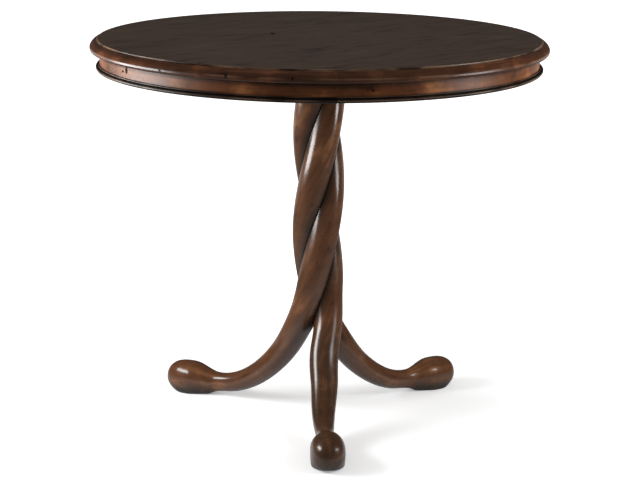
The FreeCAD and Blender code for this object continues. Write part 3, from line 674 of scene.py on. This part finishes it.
def woodFinish(name, form, vectorOf, masked=True, knocks=()):
    # Stained grain, then glaze and painted shade, wear and painted highlights, and specks where
    # the piece has masks for them, then knocks.
    material, t, shader = newMaterial(name)
    vector = vectorOf(t)
    inputs = {"Vector": vector}
    inputs.update({key: stain(*form[key.lower()]) for key in ("Light", "Middle", "Dark")})
    inputs.update({key: form[key.lower()] for key in ("Figure", "Blotch", "Pores", "Fineness")})
    grain = t.add("Group", inputs, node_tree=grainGroup).outputs
    colour, rough, height = grain["Color"], grain["Rough"], grain["Height"]
    if masked:
        agedAndLit = t.add("Group", {
            "Color": colour, "Vector": vector,
            "GlazeAndShade": t.add("Attribute", attribute_name="glazeAndShade").outputs["Fac"],
            "WearAndHighlight": t.add("Attribute", attribute_name="wearAndHighlight").outputs["Fac"],
            "GlazeAndShadeColor": stain(*form["glazeAndShade"]), "WearAndHighlightColor": stain(*form["wearAndHighlight"]),
        }, node_tree=ageAndPaintedLightGroup).outputs
        specks = t.add("Group", {"Vector": vector, "Amount": form["specks"]}, node_tree=dotGroup)
        colour = t.mix(specks.outputs["Mask"], agedAndLit["Color"], stain(*speckForm["colour"]))
        rough = t.math("ADD", rough, agedAndLit["Rough"])
    if knocks:
        place = t.add("TexCoord").outputs["Object"]
        mask = 0.0
        for where, size in knocks:
            inputs = {"Vector": place, "Place": where, "Size": size, "Before": mask}
            mask = t.add("Group", inputs, node_tree=dentGroup).outputs["Mask"]
        colour = t.mix(mask, colour, stain(*form["glazeAndShade"]))
        height = t.math("SUBTRACT", height, t.math("MULTIPLY", mask, knockForm["depth"]))
        rough = t.math("ADD", rough, t.math("MULTIPLY", mask, knockForm["dull"]))
    relief = {"Strength": form["bump"], "Distance": bumpDistance, "Height": height}
    t.join(colour, shader.inputs["Base Color"])
    t.join(t.math("ADD", rough, form["roughness"], True), shader.inputs["Roughness"])
    t.join(t.add("Bump", relief).outputs["Normal"], shader.inputs["Normal"])
    shader.inputs["Specular IOR Level"].default_value = form["gloss"]
    return material


def alongPiece(t):  # the piece's own map: metres along the grain, metres across it
    return t.add("UVMap", uv_map="grain").outputs["UV"]


boardForm = {"angle": np.radians(42), "count": 6}


def alongBoards(t):
    # Object coordinates turned to the boards, shifted by a chance amount for each board.
    field = cadBox[1][0] - edgeForm["width"]
    pitch = 2 * field / boardForm["count"]
    turn = (0, 0, -boardForm["angle"])
    place = t.add("TexCoord").outputs["Object"]
    turned = t.add("Mapping", {"Vector": place, "Rotation": turn}).outputs[0]
    y = t.add("SeparateXYZ", {0: turned}).outputs["Y"]
    board = t.math("FLOOR", t.math("DIVIDE", y, pitch))
    chance = t.add("TexWhiteNoise", {"W": board}, noise_dimensions="1D").outputs["Color"]
    return t.vector("ADD", turned, chance)


plainForm = {"scale": 260.0, "detail": 4.0, "darker": 0.6, "darkFrom": 0.35, "darkTo": 0.7}


def plainFinish(name, form):
    # Small fittings: an even colour with fine smudges, which show in the sheen too.
    g = plainForm
    material, t, shader = newMaterial(name)
    colour = stain(*form["colour"])
    dark = tuple(g["darker"] * c for c in colour[:3]) + (1.0,)
    place = t.add("TexCoord").outputs["Object"]
    smudge = t.noise(place, g["scale"], g["detail"])
    clean = t.ramp(smudge, g["darkFrom"], g["darkTo"])
    sheen = t.math("MULTIPLY", smudge, form["smudge"])
    rough = t.math("ADD", sheen, form["roughness"] - form["smudge"] / 2, True)
    t.join(t.mix(clean, dark, colour), shader.inputs["Base Color"])
    t.join(rough, shader.inputs["Roughness"])
    shader.inputs["Metallic"].default_value = form["metallic"]
    return material


def dress(pieces, material):
    for piece in pieces:
        piece.data.materials.clear()
        piece.data.materials.append(material)


def dressNodes(names, material):
    for name in names:
        for slot in nodes[name].material_slots:
            slot.material = material


# glaze colours also serve for painted shade, wear colours for painted highlights
topFinish = {
    "light": (90, 73, 62), "middle": (77, 62, 53), "dark": (32, 23, 18), "glazeAndShade": (18, 13, 11),
    "figure": 0.4, "blotch": 0.35, "pores": 1.0, "fineness": 0.42,
    "roughness": 0.42, "bump": 0.2, "gloss": 0.2,
}
edgeFinish = {
    "light": (100, 59, 35), "middle": (66, 38, 23), "dark": (40, 23, 14),
    "glazeAndShade": (20, 13, 10), "wearAndHighlight": (150, 118, 92), "specks": 0.5,
    "figure": 0.6, "blotch": 0.7, "pores": 0.35, "fineness": 1.0,
    "roughness": 0.30, "bump": 0.06, "gloss": 0.35,
}
apronFinish = {
    "light": (150, 94, 50), "middle": (98, 55, 27), "dark": (56, 29, 13),
    "glazeAndShade": (20, 13, 9), "wearAndHighlight": (140, 108, 82), "specks": 0.5,
    "figure": 0.5, "blotch": 0.8, "pores": 0.35, "fineness": 1.0,
    "roughness": 0.42, "bump": 0.05, "gloss": 0.22,
}
beadFinish = dict(
    apronFinish, light=(78, 52, 36), middle=(52, 34, 23), dark=(30, 19, 14),
    glazeAndShade=(18, 13, 10), wearAndHighlight=(96, 76, 62),
)
legFinish = {
    "light": (138, 92, 58), "middle": (92, 58, 37), "dark": (58, 34, 22),
    "glazeAndShade": (39, 31, 24), "wearAndHighlight": (140, 108, 82), "specks": 0.55,
    "figure": 0.45, "blotch": 0.6, "pores": 0.3, "fineness": 1.0,
    "roughness": 0.2, "bump": 0.03, "gloss": 0.5,
}
innerFinish = {
    "light": (176, 138, 96), "middle": (150, 112, 74), "dark": (108, 76, 48),
    "figure": 1.0, "blotch": 0.4, "pores": 0.5, "fineness": 1.0,
    "roughness": 0.62, "bump": 0.35, "gloss": 0.3,
}
screwFinish = {"colour": (176, 170, 158), "roughness": 0.38, "metallic": 1.0, "smudge": 0.25}
glideFinish = {"colour": (48, 44, 42), "roughness": 0.55, "metallic": 0.0, "smudge": 0.2}

# knocks: place on the piece, half sizes
topKnocks = [((-0.077, 0.039, 0.660), (0.0042, 0.0095, 0.004))]
edgeKnocks = [
    ((-0.261, -0.278, 0.645), (0.0024, 0.0024, 0.006)),
    ((-0.163, -0.344, 0.648), (0.0032, 0.0032, 0.006)),
    ((-0.067, -0.375, 0.649), (0.0020, 0.0020, 0.006)),
]
apronKnocks = [
    ((-0.314, -0.186, 0.632), (0.0044, 0.0044, 0.006)),
    ((-0.320, -0.176, 0.629), (0.0050, 0.0050, 0.002)),
    ((0.053, -0.361, 0.628), (0.0022, 0.0022, 0.0022)),
]

legs = makeLegs()
edges = makeEdge()
aprons, apronRadius, apronLow = makeApron()
beads = makeBead(apronRadius, apronLow)

topWood = woodFinish("top_wood", topFinish, alongBoards, masked=False, knocks=topKnocks)
dress(legs, woodFinish("leg_wood", legFinish, alongPiece))
dress(edges, woodFinish("edge_wood", edgeFinish, alongPiece, knocks=edgeKnocks))
dress(aprons, woodFinish("apron_wood", apronFinish, alongPiece, knocks=apronKnocks))
dress(beads, woodFinish("bead_wood", beadFinish, alongPiece))
innerWood = woodFinish("inner_wood", innerFinish, alongBoards, masked=False)
innerNodes = ["board_splines", "glue_blocks", "cleat_left", "cleat_right", "mounting_block"]
steel = plainFinish("screw_steel", screwFinish)
plastic = plainFinish("glide_plastic", glideFinish)
dressNodes([name for name in nodes if name.startswith("top_board")], topWood)
dressNodes(innerNodes, innerWood)
dressNodes(["block_screws", "cleat_screws"], steel)
dressNodes(["glide_front", "glide_right", "glide_left"], plastic)
print("finishes laid on")

# stage, light and camera

studio = {
    "floorSize": 14.0, "floorGrey": 0.84, "floorRoughness": 0.9, "floorGloss": 0.1,
    # glow of the floor to the camera, less of it round the feet so that their shadow stays
    "nearLift": 0.30, "farLift": 1.0, "liftFrom": 0.30, "liftTo": 0.85,
    # the floor in the polish: dimmed away from the feet, glowing far behind
    "dimFrom": 0.2, "dimTo": 0.6, "dimmed": 0.2,
    "sweepFrom": 0.6, "sweepTo": 2.2, "sweepGlow": 0.3,
    "bounce": 0.35, "ambient": 0.5, "glossAmbient": 0.05,
    "lamps": {  # place, aim, width, height, roll, watts, seen in the polish
        "leftBox": ((-0.8, -0.10, 0.515), (0.0, 0.0, 0.45), 0.46, 0.21, 0.0, 5.6, True),
        "leftFill": ((-1.2, -0.1, 0.62), (0.0, 0.0, 0.5), 0.9, 0.8, 0.0, 8.0, False),
        "rightBox": ((0.8, -0.44, 0.545), (0.0, 0.0, 0.45), 0.32, 0.16, -0.6, 2.0, True),
        "rightFill": ((1.2, -0.4, 0.62), (0.0, 0.0, 0.5), 0.9, 0.8, 0.0, 7.5, False),
        "topBox": ((0.0, 0.0, 2.0), (0.0, 0.0, 0.5), 1.2, 1.2, 0.0, 6.4, False),
    },
}
view = {
    "turn": -0.0729, "distance": 2.8431, "height": 1.0312,
    "pitch": np.radians(14.225), "roll": np.radians(0.506), "yaw": np.radians(0.065),
    "focalPixels": 1710.0, "imageWidth": 640, "sensor": 36.0,
}


def makeFloor():
    size = studio["floorSize"] / 2
    corners = [(-size, -size, 0), (size, -size, 0), (size, size, 0), (-size, size, 0)]
    mesh = bpy.data.meshes.new("floor")
    mesh.from_pydata(corners, [], [(0, 1, 2, 3)])
    floor = bpy.data.objects.new("floor", mesh)
    bpy.context.scene.collection.objects.link(floor)
    material, t, shader = newMaterial("floor_paper")
    shader.inputs["Roughness"].default_value = studio["floorRoughness"]
    shader.inputs["Specular IOR Level"].default_value = studio["floorGloss"]
    shader.inputs["Emission Color"].default_value = plainGrey(1)
    place = t.add("TexCoord").outputs["Object"]
    away = t.length(place)
    lift = t.add("MapRange", {
        "Value": away, "From Min": studio["liftFrom"], "From Max": studio["liftTo"],
        "To Min": studio["nearLift"], "To Max": studio["farLift"],
    }, interpolation_type="SMOOTHSTEP").outputs[0]
    behind = t.add("SeparateXYZ", {0: place}).outputs["Y"]
    sweep = t.ramp(behind, studio["sweepFrom"], studio["sweepTo"])
    rays = t.add("LightPath").outputs
    glow = t.math("MULTIPLY", sweep, studio["sweepGlow"])
    toCamera = t.math("MULTIPLY", rays["Is Camera Ray"], lift)
    toPolish = t.math("MULTIPLY", rays["Is Glossy Ray"], glow)
    t.join(t.math("ADD", toCamera, toPolish), shader.inputs["Emission Strength"])
    far = t.ramp(away, studio["dimFrom"], studio["dimTo"])
    far = t.math("MULTIPLY", far, t.math("SUBTRACT", 1.0, sweep))
    dim = t.math("MULTIPLY", far, rays["Is Glossy Ray"])
    grey, bounce = plainGrey(studio["floorGrey"]), plainGrey(studio["bounce"])
    paper = t.mix(rays["Is Diffuse Ray"], grey, bounce)
    t.join(t.mix(dim, paper, plainGrey(studio["dimmed"])), shader.inputs["Base Color"])
    material.cycles.emission_sampling = "NONE"
    mesh.materials.append(material)


def makeWorld():  # white behind everything, plain grey fill, and nearly dark in the polish
    world = bpy.data.worlds.new("studio")
    bpy.context.scene.world = world
    world.use_nodes = True
    t = Tree(world.node_tree)
    rays = t.add("LightPath").outputs
    fill = t.math("MULTIPLY", rays["Is Diffuse Ray"], studio["ambient"])
    shine = t.math("MULTIPLY", rays["Is Glossy Ray"], studio["glossAmbient"])
    level = t.math("ADD", rays["Is Camera Ray"], t.math("ADD", fill, shine))
    back = world.node_tree.nodes["Background"]
    back.inputs["Color"].default_value = plainGrey(1)
    t.join(level, back.inputs["Strength"])


def facing(place, aim):  # axes of an object whose -Z points from place to aim
    ahead = np.subtract(aim, place)
    ahead = ahead / np.linalg.norm(ahead)
    right = np.cross(ahead, (0, 0, 1))
    length = np.linalg.norm(right)
    upright = length < 1e-6  # straight up or down, so any right will do
    right = np.array([1.0, 0, 0]) if upright else right / length
    return right, np.cross(right, ahead), -ahead


def placed(right, up, back, place):  # matrix with these axes at this place
    matrix = np.identity(4)
    matrix[:3] = np.stack([right, up, back, place], 1)
    return Matrix(matrix.tolist())


def makeLamps():
    for name, (place, aim, width, height, roll, watts, polish) in studio["lamps"].items():
        lamp = bpy.data.lights.new(name, "AREA")
        lamp.shape = "RECTANGLE"
        lamp.size, lamp.size_y, lamp.energy = width, height, watts
        holder = bpy.data.objects.new(name, lamp)
        holder.matrix_world = placed(*facing(place, aim), place) @ Matrix.Rotation(roll, 4, "Z")
        holder.visible_camera = False
        holder.visible_glossy = polish
        bpy.context.scene.collection.objects.link(holder)


def makeCamera():
    v = view
    level = np.cos(v["pitch"])
    ahead = np.array([np.sin(v["yaw"]) * level, np.cos(v["yaw"]) * level, -np.sin(v["pitch"])])
    right = np.array([np.cos(v["yaw"]), -np.sin(v["yaw"]), 0])
    up = np.cross(right, ahead)
    c, s = np.cos(v["roll"]), np.sin(v["roll"])
    axes = c * right + s * up, c * up - s * right, -ahead
    camera = bpy.data.cameras.new("camera")
    camera.sensor_fit = "HORIZONTAL"
    camera.sensor_width = v["sensor"]
    camera.lens = v["focalPixels"] / v["imageWidth"] * v["sensor"]
    holder = bpy.data.objects.new("camera", camera)
    turn = Matrix.Rotation(v["turn"], 4, "Z")
    holder.matrix_world = turn @ placed(*axes, (0, -v["distance"], v["height"]))
    bpy.context.scene.collection.objects.link(holder)
    bpy.context.scene.camera = holder


makeFloor()
makeWorld()
makeLamps()
makeCamera()
bpy.context.scene.view_settings.view_transform = "Standard"
print("stage set")
